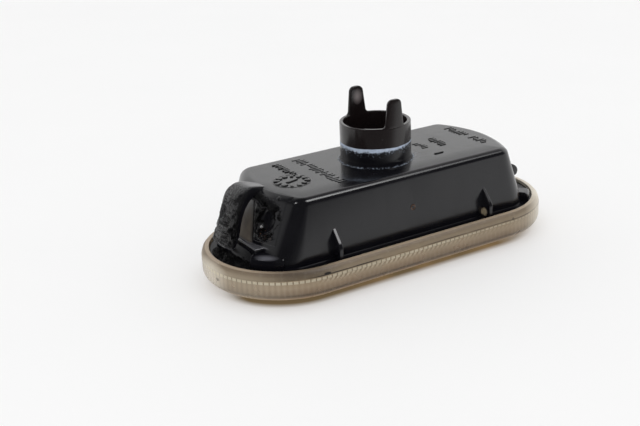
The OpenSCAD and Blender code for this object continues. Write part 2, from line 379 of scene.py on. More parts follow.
class Nodes:
    """A short way to add and link shader nodes in one material or world."""

    def __init__(self, block):
        block.use_nodes = True
        self.block = block
        self.tree = block.node_tree
        is_world = isinstance(block, bpy.types.World)
        self.shader = self.tree.nodes["Background" if is_world else "Principled BSDF"]
        self.place = self.add("ShaderNodeTexCoord").outputs["Generated" if is_world else "Object"]

    def add(self, kind, **settings):
        """A new node of a kind, with its settings."""
        node = self.tree.nodes.new(kind)
        for key, value in settings.items():
            setattr(node, key, value)
        return node

    def put(self, socket, value):
        """Sets a socket's value, or links it where the value is another node's socket."""
        if isinstance(value, bpy.types.NodeSocket):
            self.tree.links.new(value, socket)
        else:
            socket.default_value = value

    def give(self, name, value):
        """Sets or links a socket of the shader itself."""
        self.put(self.shader.inputs[name], value)

    def math(self, operation, a, b=0.0, clamp=False):
        """The result of one Math node."""
        node = self.add("ShaderNodeMath", operation=operation, use_clamp=clamp)
        self.put(node.inputs[0], a)
        self.put(node.inputs[1], b)
        return node.outputs[0]

    def chain(self, operation, values):
        """Values joined from left to right by one operation."""
        total = values[0]
        for value in values[1:]:
            total = self.math(operation, total, value)
        return total

    def times(self, *values):
        """The product of the values."""
        return self.chain("MULTIPLY", values)

    def plus(self, *values):
        """The sum of the values."""
        return self.chain("ADD", values)

    def most(self, *values):
        """The largest of the values."""
        return self.chain("MAXIMUM", values)

    def less(self, a, b):
        """The first value less the second."""
        return self.math("SUBTRACT", a, b)

    def reach(self, a, b):
        """The long side of a right triangle with two given sides."""
        return self.math("SQRT", self.plus(self.times(a, a), self.times(b, b)))

    def noise(self, scale, detail=4.0, rough=0.55, stretch=None):
        """Cloudy noise, at about so many clouds to the metre."""
        node = self.add("ShaderNodeTexNoise")
        self.put(node.inputs["Vector"], self.stretched(stretch) if stretch else self.place)
        node.inputs["Scale"].default_value = scale
        node.inputs["Detail"].default_value = detail
        node.inputs["Roughness"].default_value = rough
        return node.outputs["Fac"]

    def stretched(self, scale):
        """The place, with its axes scaled."""
        node = self.add("ShaderNodeMapping")
        self.put(node.inputs["Vector"], self.place)
        node.inputs["Scale"].default_value = scale
        return node.outputs["Vector"]

    def cells(self, scale):
        """A pattern of cells: the distance from each cell's point, and a colour for each cell."""
        node = self.add("ShaderNodeTexVoronoi")
        self.put(node.inputs["Vector"], self.place)
        node.inputs["Scale"].default_value = scale
        return node.outputs

    def specks(self, scale, size, rarity):
        """Round specks in some of the cells. Size and rarity are each the two ends of a soft step."""
        cells = self.cells(scale)
        return self.times(self.ramp(cells["Distance"], *size), self.ramp(cells["Color"], *rarity))

    def ramp(self, value, low, high):
        """0 to 1 between two levels. It falls where the first level is the higher one."""
        node = self.add("ShaderNodeMapRange")
        self.put(node.inputs["Value"], value)
        node.inputs["From Min"].default_value = low
        node.inputs["From Max"].default_value = high
        return node.outputs["Result"]

    def rise(self, value, low, high):
        """A ramp between two places in millimetres."""
        return self.ramp(value, low * MM, high * MM)

    def between(self, value, start, full, fading, end):
        """1 from one place to another in millimetres, with a slope up to it and a slope down after it."""
        return self.times(self.rise(value, start, full), self.rise(value, end, fading))

    def mix(self, amount, a, b):
        """A colour between two colours. They are a Mix node's sockets 6 and 7, and come out at 2."""
        node = self.add("ShaderNodeMix", data_type="RGBA")
        self.put(node.inputs[0], amount)
        self.put(node.inputs[6], a)
        self.put(node.inputs[7], b)
        return node.outputs[2]

    def coat(self, colour, tint, *amounts):
        """A colour covered by a tint, as far as the product of the amounts."""
        return self.mix(self.times(*amounts), colour, (*tuple(tint)[:3], 1.0))

    def blend(self, amount, a, b):
        """A number between two numbers."""
        node = self.add("ShaderNodeMix", data_type="FLOAT")
        self.put(node.inputs[0], amount)
        self.put(node.inputs[2], a)
        self.put(node.inputs[3], b)
        return node.outputs[0]

    def axes(self):
        """The three coordinates of the place."""
        node = self.add("ShaderNodeSeparateXYZ")
        self.put(node.inputs[0], self.place)
        return node.outputs

    def bands(self, value, stops):
        """Colours joined in even slopes: each stop is a level and its colour."""
        low, high = stops[0][0], stops[-1][0]
        node = self.add("ShaderNodeValToRGB")
        self.put(node.inputs[0], self.ramp(value, low, high))
        elements = node.color_ramp.elements
        elements.remove(elements[1])
        for k, (level, colour) in enumerate(stops):
            element = elements[0] if k == 0 else elements.new((level - low) / (high - low))
            element.color = (*colour, 1.0)
        return node.outputs["Color"]

    def spot(self, centre, radii, soft):
        """1 inside an ellipsoid given in millimetres and 0 outside it, with a soft edge."""
        node = self.add("ShaderNodeMapping")
        self.put(node.inputs["Vector"], self.place)
        node.inputs["Location"].default_value = [-c / r for c, r in zip(centre, radii)]
        node.inputs["Scale"].default_value = [1000 / r for r in radii]
        reach = self.add("ShaderNodeVectorMath", operation="LENGTH")
        self.put(reach.inputs[0], node.outputs["Vector"])
        return self.ramp(reach.outputs["Value"], 1.0, 1.0 - soft)

    def along(self, direction):
        """How far the place lies along a direction."""
        node = self.add("ShaderNodeVectorMath", operation="DOT_PRODUCT")
        self.put(node.inputs[0], self.place)
        node.inputs[1].default_value = direction
        return node.outputs["Value"]

    def field(self, name):
        """A value that the mesh holds at its points."""
        return self.add("ShaderNodeAttribute", attribute_name=name).outputs["Fac"]

    def bump(self, height, strength, distance, base=None):
        """A normal tilted by the slope of a height, over another bump's normal where one is given."""
        node = self.add("ShaderNodeBump")
        self.put(node.inputs["Height"], height)
        node.inputs["Strength"].default_value = strength
        node.inputs["Distance"].default_value = distance
        if base is not None:
            self.put(node.inputs["Normal"], base)
        return node.outputs["Normal"]


def grey(level):
    """A neutral colour."""
    return (level, level, level, 1.0)


def collar_residue(n, ragged):
    """Where residue lies: a ragged line round the collar with spatter below it, a speckled ring at the
    collar's foot, and specks spread over the back beside it.

    The line wavers in height, and its lower edge hangs down in drips, longer on the left.
    """
    x, y, z = n.axes()
    radius = n.reach(x, y)
    waver = n.times(n.less(n.noise(130.0, 3.0), 0.5), 0.9 * MM)
    height = n.less(n.plus(z, waver), 29.45 * MM)
    drip = n.times(n.less(ragged, 0.5), 2.9 * MM)
    low_edge = n.blend(n.rise(x, -2.0, 6.0), -0.75 * MM, -0.2 * MM)
    above_low_edge = n.less(n.plus(height, drip), low_edge)
    line = n.times(n.rise(height, 0.3, 0.16), n.rise(above_low_edge, 0.0, 0.28))
    spatter = n.between(height, -2.6, -0.2, 0.1, 0.3)
    specked = n.plus(n.noise(2600.0, 3.0, 0.7), n.times(spatter, 0.14))
    spatter = n.times(n.ramp(specked, 0.64, 0.74), spatter, 0.6)
    crumbled = n.ramp(n.noise(2000.0, 4.0, 0.75), 0.5, 0.6)
    foot = n.times(n.between(radius, 9.25, 9.4, 9.6, 9.9), n.rise(z, 25.3, 25.1), crumbled, 0.6)
    beside = n.times(n.rise(radius, 12.0, 9.4), n.rise(z, 25.0, 24.9), n.rise(x, 0.0, 9.0))
    spread = n.times(beside, n.ramp(n.noise(1600.0, 4.0, 0.75), 0.45, 0.6), 0.25)
    return n.times(n.most(line, spatter, foot, spread), n.rise(radius, 8.5, 8.8))


def black_plastic():
    """Glossy black moulded plastic with handling haze, pale dust and white residue round the collar."""
    n = Nodes(bpy.data.materials.new("black plastic"))
    x, y, z = n.axes()
    radius = n.reach(x, y)
    haze = n.noise(90.0, 5.0, 0.6)
    fine = n.noise(900.0, 3.0, 0.6)
    ragged = n.noise(1500.0, 5.0, 0.75)
    torn, pale, hole = n.field("torn"), n.field("pale"), n.field("hole")
    chalk = collar_residue(n, ragged)

    # Dust: sparse pale specks, more of them near the flange
    dust_share = n.plus(0.45, n.times(n.rise(z, 14.0, 8.0), 0.55))
    dust = n.times(n.specks(620.0, (0.14, 0.06), (0.88, 0.95)), dust_share)

    # Inside the clip's arch the wall carries painted light: a lit facet painted a warm grey, up to the torn
    # edge
    arch_edge = n.plus(n.times(n.less(ARCH_TOP * MM, z), ARCH_SLOPE), ARCH_SIDE * MM)
    lit_arch_facet = n.times(n.rise(n.plus(y, arch_edge), 0.0, 1.5), n.between(x, -39.8, -39.4, -36.0, -35.6),
                   n.rise(y, 7.0, 5.0), n.rise(z, 23.0, 17.0))

    # Brown: rust-coloured dirt in the torn hole, a ringed pip on the near wall, a speck by the hook's stop
    dirt = n.times(n.spot((-37.0, -7.4, 15.4), (2.6, 3.2, 2.4), 0.6),
                   n.ramp(n.noise(2400.0, 3.0), 0.6, 0.66), n.math("GREATER_THAN", z, 13.0 * MM))
    pip_place = (0.3, -15.3, 15.7)
    pip = n.less(n.spot(pip_place, (0.85, 0.6, 0.85), 0.3), n.spot(pip_place, (0.5, 0.6, 0.5), 0.4))
    speck = n.spot((35.9, -14.5, 10.9), (0.8, 1.0, 0.9), 0.7)
    brown = n.most(n.times(dirt, 0.8), n.times(n.most(pip, speck), 0.55))

    # Pale spots: the lens seen past the right gusset; painted highlights on the far ear's tip and the left
    # stop; painted light on the ledge's top
    slot = n.spot((22.0, -16.4, 9.6), (0.55, 1.2, 1.3), 0.4)
    ear_tip_highlight = n.spot((0.2, 8.4, 39.0), (1.7, 1.5, 2.3), 1.0)
    stop_top_highlight = n.spot((-39.3, -11.5, 11.0), (3.3, 3.3, 0.55), 0.7)
    lit_ledge_top = n.times(n.between(z, 12.3, 12.45, 12.65, 12.8), n.rise(x, -37.6, -38.0))

    colour = n.coat(tuple(colours().black), (0.006, 0.006, 0.008), n.ramp(haze, 0.35, 0.75))
    colour = n.coat(colour, (0.013, 0.0085, 0.0075), n.rise(z, 29.2, 29.8), 0.6)
    colour = n.coat(colour, (0.14, 0.115, 0.09), lit_arch_facet, n.ramp(haze, 0.1, 0.5))
    colour = n.coat(colour, (0.11, 0.055, 0.03), brown)
    colour = n.coat(colour, (0.42, 0.35, 0.24), slot, 0.85)
    colour = n.coat(colour, (0.3, 0.26, 0.26), ear_tip_highlight, 0.8)
    colour = n.coat(colour, (0.11, 0.11, 0.125), stop_top_highlight, 0.8)
    colour = n.coat(colour, (0.1, 0.1, 0.11), lit_ledge_top, 0.7)
    colour = n.coat(colour, (0.003, 0.0028, 0.003), torn, 0.7)
    colour = n.coat(colour, (0.1, 0.1, 0.105), pale, 0.75)
    colour = n.coat(colour, grey(0.35), dust, 0.6)
    colour = n.coat(colour, colours().chalk, chalk, n.plus(0.45, n.times(ragged, 0.8)))
    n.give("Base Color", colour)

    smear = n.noise(160.0, 4.0, 0.6, (1.0, 1.0, 0.25))
    rough = n.plus(0.12, n.times(n.ramp(haze, 0.3, 0.8), 0.1), n.times(n.ramp(smear, 0.45, 0.75), 0.12))
    rough = n.blend(torn, rough, n.plus(0.05, n.times(fine, 0.15)))
    n.give("Roughness", n.blend(n.most(chalk, dust, hole, lit_arch_facet), rough, 0.75))

    # Dull low down on the flange, on the ledge's face and round the foot of the collar
    ledge_face = n.times(n.rise(z, 12.3, 12.0), n.rise(x, -37.0, -38.5))
    collar_foot = n.times(n.between(z, 24.82, 24.9, 25.6, 25.9), n.rise(radius, 9.8, 9.6))
    dull = n.times(n.most(n.rise(z, 9.8, 9.0), ledge_face, collar_foot), 0.42)
    dull = n.most(dull, n.times(torn, 0.3), n.times(hole, 0.47))
    n.give("Specular IOR Level", n.less(0.5, dull))
    n.give("IOR", 1.52)

    crumb = n.plus(n.ramp(n.noise(1500.0, 5.0, 0.8), 0.4, 0.6), n.times(n.cells(1300.0)["Distance"], 0.6))
    grain = n.bump(fine, 0.08, 0.04 * MM)
    pitted = n.bump(n.times(torn, crumb), 1.0, 0.6 * MM, grain)
    ringed = n.bump(pip, 0.5, 0.2 * MM, pitted)
    n.give("Normal", n.bump(n.times(chalk, ragged), 0.6, 0.25 * MM, ringed))
    return n.block


def mark_plastic():
    """The same black plastic where the mould marks stand up: darker and glossier than the hazed back."""
    n = Nodes(bpy.data.materials.new("raised mark plastic"))
    n.give("Base Color", n.mix(n.noise(800.0), grey(0.01), grey(0.03)))
    n.give("Roughness", n.plus(0.2, n.times(n.noise(500.0), 0.2)))
    n.give("Normal", n.bump(n.noise(1600.0), 0.3, 0.08 * MM))
    return n.block


# The lens's shades, partly its own tone and partly painted light and shade: a height in millimetres, and
# the share of red, green and blue of the smoke's colour

FACE_SHADES = ((0.0, (0.5, 0.36, 0.18)), (1.2, (0.78, 0.64, 0.52)), (2.3, (0.9, 0.76, 0.66)),
               (2.8, (0.4, 0.32, 0.27)), (3.3, (0.26, 0.21, 0.18)))
WALL_SHADES = ((3.8, (0.6, 0.5, 0.43)), (4.6, (0.8, 0.69, 0.62)), (5.3, (0.98, 0.9, 0.84)),
               (6.3, (0.95, 0.88, 0.8)), (7.1, (0.85, 0.77, 0.67)))
# The last two rim stops, at 8.97 and 9.0 mm, are a painted highlight along the rim's top edge
RIM_SHADES_AND_HIGHLIGHT = ((7.25, (0.55, 0.47, 0.38)), (7.5, (0.83, 0.78, 0.73)), (8.0, (0.8, 0.74, 0.68)),
              (8.45, (0.58, 0.5, 0.43)), (8.85, (0.54, 0.46, 0.39)), (8.97, (1.4, 1.35, 1.4)),
              (9.0, (1.4, 1.35, 1.4)))


def smoked_plastic():
    """Smoked clear plastic, clouded with age: part light goes through and part is scattered.

    The flutes' upper ends catch the light as a row of pale ticks under the smooth rim, painted on as
    highlights.
    """
    n = Nodes(bpy.data.materials.new("smoked lens plastic"))
    x, y, z = n.axes()
    cloud = n.noise(70.0, 4.0, 0.6)
    grime = n.noise(900.0, 4.0, 0.7)
    tooth = n.field("tooth")
    near = n.rise(y, -8.0, -14.0)
    right = n.rise(x, -6.0, 22.0)
    smoke = np.array(colours().smoke)[:3]
    shades = FACE_SHADES + WALL_SHADES + RIM_SHADES_AND_HIGHLIGHT
    colour = n.bands(z, [(level * MM, tuple(smoke * shade)) for level, shade in shades])

    # Both ends are painted paler, as light that comes through them; the rim is painted dark round the near
    # left corner, as shade
    pale = n.most(n.times(n.rise(x, -33.0, -48.0), 0.6), n.rise(x, 26.0, 44.0))
    backlit_tips = n.most(n.rise(x, 33.0, 43.0), n.times(n.rise(x, -47.3, -48.5), 0.6))
    painted_rim_shade = n.times(n.between(x, -44.0, -37.0, -30.0, -23.0), near, n.rise(z, 7.15, 7.4))
    colour = n.coat(colour, (0.7, 0.61, 0.47), pale, n.rise(z, 8.8, 7.4), 0.62)
    colour = n.coat(colour, (0.86, 0.8, 0.68), backlit_tips, n.rise(z, 2.6, 3.4))
    colour = n.coat(colour, (0.07, 0.045, 0.025), painted_rim_shade, 0.62)
    colour = n.coat(colour, (0.25, 0.195, 0.135), n.ramp(cloud, 0.4, 0.75), 0.3)
    colour = n.coat(colour, (0.5, 0.42, 0.3), n.ramp(grime, 0.5, 0.75), 0.25)

    # The flutes: pale painted light where a tooth stands in and dark painted shade between the teeth
    stripe = n.times(n.less(tooth, 0.5), n.between(z, 2.9, 4.2, 6.2, 6.6))
    stripe = n.times(stripe, n.plus(0.14, n.times(pale, 0.4)))
    colour = n.coat(colour, (0.66, 0.57, 0.43), n.most(stripe, 0.0))
    colour = n.coat(colour, (0.1, 0.07, 0.045), n.most(n.times(stripe, -1.0), 0.0))

    # Ticks: painted highlights in blunt pale blocks with narrow gaps of painted shade, shorter and fainter
    # to the right, their strength varying in patches
    tick = n.times(n.rise(n.less(z, n.times(right, 0.3 * MM)), 6.3, 6.42), n.rise(z, 7.14, 7.0))
    highlight_strength = n.plus(0.5, n.times(n.ramp(n.noise(110.0, 2.0), 0.35, 0.6), 0.45))
    highlight_strength = n.times(highlight_strength, n.less(1.0, n.times(right, 0.35)))
    colour = n.coat(colour, (0.74, 0.66, 0.49), tick, n.ramp(tooth, 0.14, 0.32), highlight_strength)
    colour = n.coat(colour, (0.09, 0.07, 0.045), tick, n.ramp(tooth, 0.22, 0.06), 0.5)

    # They trail off in slanted tails along the near side, painted light and painted shade by turns
    slant = n.times(n.less(6.6 * MM, z), 0.55 / MM)
    turns = n.math("FRACT", n.plus(n.field("along"), slant))
    leaning = n.math("ABSOLUTE", n.less(n.times(turns, 2.0), 1.0))
    tail = n.times(n.between(z, 5.4, 6.0, 6.25, 6.4), near, n.rise(x, -32.0, -26.0),
                   n.less(1.0, n.times(right, 0.75)))
    colour = n.coat(colour, (0.7, 0.61, 0.45), tail, n.ramp(leaning, 0.45, 0.65), 0.6)
    colour = n.coat(colour, (0.12, 0.09, 0.06), tail, n.ramp(leaning, 0.4, 0.2), 0.35)

    # The open seam under the rim with a black chip in it, two dark dots and sparse dark specks
    gape = n.plus(n.rise(x, -12.0, -24.0), n.times(n.ramp(n.noise(90.0, 2.0), 0.42, 0.55), 0.7))
    seam = n.times(n.between(z, 7.22, 7.3, 7.44, 7.52), near, n.rise(x, -33.5, -30.0))
    seam = n.math("MULTIPLY", seam, gape, clamp=True)
    chip = n.spot((-28.2, -20.5, 7.62), (1.15, 1.5, 0.36), 0.35)
    dots = n.most(n.spot((28.15, -20.0, 7.5), (0.5, 1.5, 0.45), 0.3),
                  n.spot((-48.2, -3.2, 5.2), (0.8, 0.9, 0.5), 0.6))
    colour = n.coat(colour, grey(0.006), n.most(seam, chip), 0.95)
    colour = n.coat(colour, (0.03, 0.025, 0.02), dots, 0.65)
    colour = n.coat(colour, (0.03, 0.025, 0.02), n.specks(330.0, (0.12, 0.05), (0.95, 0.97)), 0.5)
    n.give("Base Color", colour)

    n.give("Transmission Weight", n.times(n.rise(z, 1.6, 3.4), n.less(0.4, n.times(backlit_tips, 0.32))))
    n.give("Specular IOR Level", n.plus(0.2, n.times(n.rise(z, 2.7, 4.0), 0.3)))
    n.give("IOR", 1.49)
    dull_rim = n.times(n.rise(z, 7.0, 8.0), 0.2)
    n.give("Roughness", n.plus(0.22, dull_rim, n.times(n.ramp(cloud, 0.3, 0.8), 0.15)))
    scuff = n.bump(n.noise(1400.0, 3.0, 0.6, (1.0, 1.0, 0.25)), 0.15, 0.05 * MM)
    n.give("Normal", n.bump(n.times(tick, tooth), 0.4, 0.15 * MM, scuff))
    return n.block


def amber_plastic():
    """Clear amber plastic."""
    n = Nodes(bpy.data.materials.new("amber plastic"))
    n.give("Base Color", n.coat(tuple(colours().amber), (0.75, 0.22, 0.01), n.noise(120.0)))
    n.give("Transmission Weight", 0.8)
    n.give("IOR", 1.49)
    n.give("Roughness", n.plus(0.08, n.times(n.noise(600.0), 0.1)))
    return n.block


# Pieces

def lens_section():
    """Half section of the lens, radius and height, once round from the middle of its face to its floor,
    and an amount for each point: 1 on the fluted wall.

    The face is crowned: flat to the flat radius, then up a squared quarter ellipse to the side wall. The
    rim leans in above the wall, and the ledge inside it carries the flange.
    """
    size = sizes()
    end_r = size.lens_width / 2
    top = size.lens_height
    seat = top - SEAT_DROP
    flat, crown, power = 8 * MM, 4.2 * MM, 2.4
    lean, wall, floor_z, fillet_r = 0.55 * MM, 2.9 * MM, 2 * MM, 1.8 * MM
    middle = np.array([[0.0, 0.0], [flat * 0.5, 0.0]])
    t = np.sin(np.linspace(0, np.pi / 2, 22))
    face = np.stack([flat + (end_r - flat) * t, crown * (1 - (1 - t ** power) ** (1 / power))], axis=-1)
    side = np.stack([np.full(6, end_r), np.linspace(crown, seat + 0.2 * MM, 8)[2:]], axis=-1)
    rim = np.array([[end_r - 0.12 * MM, seat + 0.7 * MM],
                    [end_r - 0.33 * MM, top - 0.7 * MM],
                    [end_r - lean - 0.1 * MM, top - 0.35 * MM],
                    [end_r - lean - 0.3 * MM, top - 0.12 * MM],
                    [end_r - lean - 0.6 * MM, top]])
    rim_in = end_r - size.rim_wall
    inner = np.array([[rim_in + 0.12 * MM, top], [rim_in + 0.02 * MM, top - 0.1 * MM],
                      [rim_in, seat + 0.5 * MM], [rim_in, seat]])
    fluted = end_r - wall
    ledge = np.array([[fluted + 0.4 * MM, seat], [fluted, seat]])
    down = np.stack([np.full(8, fluted), np.linspace(seat - 0.3 * MM, 4.0 * MM, 8)], axis=-1)
    a = np.linspace(0, np.pi / 2, 7)
    fillet = np.stack([fluted - fillet_r * (1 - np.cos(a)), floor_z + fillet_r * (1 - np.sin(a))], axis=-1)
    floor = np.stack([np.linspace(fluted - 2.6 * MM, 0, 10), np.full(10, floor_z)], axis=-1)
    section = np.vstack([middle, face, side, rim, inner, ledge, down, fillet, floor])

    # The flutes run from the ledge's edge down the wall and over the first three points of the fillet
    inside = np.zeros(len(section))
    start = len(section) - len(floor) - len(fillet) - len(down) - 1
    inside[start:start + 1 + len(down) + 3] = 1.0
    return section, inside


def add_lens():
    """The lens: its section is carried round the lamp's outline, with flutes in its inside wall.

    The outline is a straight side, a round end, a straight side and a round end. The inside wall moves
    in and out by a triangle wave of the distance along the outline, one wave for each flute.
    """
    size = sizes()
    end_r = size.lens_width / 2
    end_x = end_centre()
    per_flute = 6
    around = 4 * end_x + 2 * np.pi * end_r
    at = np.linspace(0, around, size.flutes * per_flute, endpoint=False)
    cuts = np.cumsum([2 * end_x, np.pi * end_r, 2 * end_x])
    before = [at < cut for cut in cuts]
    turn = np.select(before, [0 * at, (at - cuts[0]) / end_r, 0 * at + np.pi],
                     np.pi + (at - cuts[2]) / end_r) - np.pi / 2
    spine = np.select(before, [at - end_x, 0 * at + end_x, end_x - (at - cuts[1])], -end_x)
    phase = at / around * size.flutes
    tooth = np.abs(2 * (phase - np.floor(phase)) - 1)
    section, inside = lens_section()
    r = section[None, :, 0] - inside[None, :] * size.flute_depth * tooth[:, None]
    grid = np.stack([spine[:, None] + r * np.cos(turn)[:, None], r * np.sin(turn)[:, None],
                     np.broadcast_to(section[None, :, 1], r.shape)], axis=-1)

    fields = {"tooth": np.broadcast_to(tooth[:, None], r.shape).ravel(),
              "along": np.broadcast_to(phase[:, None], r.shape).ravel()}
    lens = make_piece("lens_moulding", [shell(grid, closed_rows=True)], smoked_plastic(), 40, fields)
    merge_middle(lens)
    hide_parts("lens")
    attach(lens, "root")


def merge_middle(piece):
    """Joins the points that meet along the lamp's middle line, where both sides of the section end."""
    mesh = bmesh.new()
    mesh.from_mesh(piece.data)
    bmesh.ops.remove_doubles(mesh, verts=mesh.verts, dist=0.005 * MM)
    mesh.to_mesh(piece.data)
    mesh.free()


def blob(u, v, centre, radii, seed=0, ragged=0.0):
    """1 inside an ellipse and 0 outside it, with a soft edge that noise can make ragged."""
    field = 1 - np.hypot((u - centre[0]) / radii[0], (v - centre[1]) / radii[1])
    if ragged:
        field = field + ragged * rough_noise(np.stack([u, v, 0 * u], axis=-1), 1.6, seed, 4)
    t = np.clip(field / 0.3, 0, 1)
    return t * t * (3 - 2 * t)


def hole_depth(along, z):
    """How deep the torn hole beside the clip is, in millimetres, on the end wall."""
    return 2.4 * blob(along / MM, z / MM, HOLE, HOLE_RADII)


def housing_box():
    """The box, flange and inside as one closed surface of rings: up the flange's edge, in along the
    flange, up the wall with a cove at its foot and a round at its top, in to the bore and back inside.

    On the near side the back falls away towards its edge with the square of the distance.
    """
    size = sizes()
    back, flange = size.back_height, size.lens_height - size.flange_drop
    seat = size.lens_height - SEAT_DROP
    edge, edge_round = size.lens_width / 2 - size.rim_wall - 0.1 * MM, 0.15 * MM
    cove, fall, crown = 0.35 * MM, 0.24 * MM, 4.2 * MM
    rings = [stadium_ring(edge, seat), stadium_ring(edge, flange - edge_round),
             stadium_ring(edge - edge_round, flange)]
    foot = wall_ring(flange, cove)
    rings += [rings[-1] * (1 - t) + foot * t for t in (0.3, 0.6, 0.85, 0.96)]
    for a in np.linspace(0, np.pi / 2, 5):
        rings.append(wall_ring(flange + cove * (1 - np.cos(a)), cove * (1 - np.sin(a))))
    for t in np.linspace(0.04, 1, 28):
        rings.append(wall_ring(flange + cove + t * (back - ROUND_TOP - flange - cove)))
    near = np.clip(-foot[:, 1] / (8 * MM), 0, 1)
    for a in np.linspace(0, np.pi / 2, 11)[1:]:
        rings.append(wall_ring(back - ROUND_TOP * (1 - np.sin(a)), -ROUND_TOP * (1 - np.cos(a))))
        rings[-1][:, 2] -= fall * near * np.sin(a)
    for t in np.linspace(0, 1, 9)[1:]:
        rings.append(wall_ring(back, -ROUND_TOP - crown * t))
        rings[-1][:, 2] -= fall * near * (1 - t) ** 2

    # In to the hole under the collar, through the back, and down inside
    last = rings[-1]
    hole_r, under = size.bore_radius + 0.4 * MM, back - size.wall
    hole = circle_ring(hole_r, back, last)
    rings += [last * (1 - t) + hole * t for t in (0.2, 0.5, 0.8, 1.0)]
    outside = len(rings)
    inner_top = wall_ring(under, -size.wall - 0.4 * MM)
    hole_under = circle_ring(hole_r, under, last)
    rings += [hole_under, hole_under * 0.5 + inner_top * 0.5, inner_top]
    rings += [wall_ring(under + t * (seat - under), -size.wall) for t in (0.05, 0.5, 1.0)]
    grid = np.array(rings)

    # Under the torn patch the wall is dented inwards, so that the patch can dip
    x, y, z = (grid[:outside, :, k] for k in range(3))
    dent = 0.55 * hole_depth(-y + 0.1 * MM, z) * (x < -25 * MM)
    grid[:outside, :, 0] += dent * MM
    return shell(grid, closed_rows=True)


def torn_patch():
    """The end wall beside the clip's root, near side: torn plastic round a hole, over the plain wall.

    It rises in lumps along the root's line, dips in the hole, and fades into the wall at its edges.
    Distances are in millimetres: u along the wall from its middle, v its height, out from the wall. With
    it come its torn, pale and hole fields.
    """
    rows, columns = 124, 151
    u_low, u_high, v_low, v_high = 0.6, 12.6, 13.2, 24.65
    u = np.linspace(u_low, u_high, columns)[None, :] + np.zeros((rows, 1))
    v = np.linspace(v_low, v_high, rows)[:, None] + np.zeros((1, columns))
    place = np.stack([u, v, 0 * u], axis=-1)
    fine = rough_noise(place, 1.1, 41, 4)
    coarse = rough_noise(place, 2.6, 47, 3)
    hole = blob(u, v, HOLE, HOLE_RADII, 51, 0.3)
    around = blob(u, v, (6.6, 18.9), (5.2, 5.4), 57, 0.25)

    # The torn root's line, a sheared edge below it, an upright tab and two raised lips at the hole
    root_line = 23.3 - 0.16 * u
    root = np.clip(1 - np.abs(v - root_line) / (1.5 - 0.05 * u), 0, 1) * np.clip((10.6 - u) / 1.6, 0, 1)
    root = np.clip(root * 2.2 + 0.5 * fine * (root > 0), 0, 1)
    shear_line = 22.55 - 0.3 * (u - 2.0)
    shear = np.clip(1 - np.abs(v - shear_line) / 0.5, 0, 1) * np.clip((u - 1.2) / 0.5, 0, 1)
    shear = shear * np.clip((7.4 - u) / 0.6, 0, 1)
    tab_line = 4.75 + 0.35 * (17.6 - v)
    tab = np.clip(1 - np.abs(u - tab_line) / 0.3, 0, 1)
    tab = tab * np.clip((v - 15.3) / 0.4, 0, 1) * np.clip((17.7 - v) / 0.4, 0, 1)
    lips = np.clip(blob(u, v, (8.5, 17.3), (0.8, 0.55)) + 0.8 * blob(u, v, (7.5, 16.6), (0.7, 0.4)), 0, 1)

    out = 0.03 + root * (0.75 + 0.5 * coarse) + around * (0.16 * fine + 0.1 * coarse)
    out = out * (1 - hole) - hole * (2.0 + 0.55 * coarse + 0.25 * fine)
    out = out + 0.5 * tab + 0.5 * lips + 0.25 * shear
    arch_edge = np.where(v < 21.0, ARCH_SIDE + ARCH_SLOPE * (ARCH_TOP - v), u_low)
    sides = np.minimum((u - arch_edge) / 0.35, (u_high - u) / 0.9)
    border = np.clip(np.minimum(sides, np.minimum(v - v_low, v_high - v) / 0.35), 0, 1)
    out = out * border - 0.06 * (1 - border)
    front = end_wall(u * MM, v * MM, out * MM)
    under = end_wall(u * MM, v * MM, (np.minimum(out, 0) - 0.3) * MM)
    grid = np.concatenate([front, under[:, ::-3]], axis=1)
    amount = np.clip(np.maximum(around, np.maximum(hole, root)) * 1.3, 0, 1)
    pale = np.clip(shear + tab + 0.8 * lips, 0, 1)
    return shell(grid), [front_field(field, 3) for field in (amount, pale, hole)]


def front_field(field, step):
    """A patch's field at all its points: 0 on its underside, which has fewer columns, and at its poles."""
    return np.concatenate([np.concatenate([field, 0 * field[:, ::-step]], axis=1).ravel(), [0, 0]])


def flange_patch():
    """Torn crumbs on the flange round the foot of the clip: a thin lumpy skin, and its torn field.

    The radius is in millimetres, from the centre of the lamp's round end.
    """
    rows, columns = 46, 163
    r_low, r_high, angle_low, angle_high = 13.4, 18.4, -0.5, 0.72
    r = np.linspace(r_low, r_high, rows)[:, None] + np.zeros((1, columns))
    a = np.linspace(angle_low, angle_high, columns)[None, :] + np.zeros((rows, 1))
    place = np.stack([r, a * 16, 0 * r], axis=-1)
    lumps = np.abs(rough_noise(place, 1.4, 61, 4))
    here = blob(a, r, (0.16, 16.2), (0.62, 3.2), 67, 0.25)
    here = here * np.clip(np.minimum((r - r_low) / 0.5, (r_high - r) / 0.3), 0, 1)
    out = here * (0.08 + 0.4 * lumps) - 0.05 * (1 - here)
    flange = sizes().lens_height - sizes().flange_drop
    grid = np.stack([-end_centre() - r * MM * np.cos(a), -r * MM * np.sin(a), flange + out * MM], axis=-1)
    under = grid.copy()
    under[..., 2] = flange - 0.3 * MM
    return shell(np.concatenate([grid, under[:, ::-9]], axis=1)), front_field(here, 9)


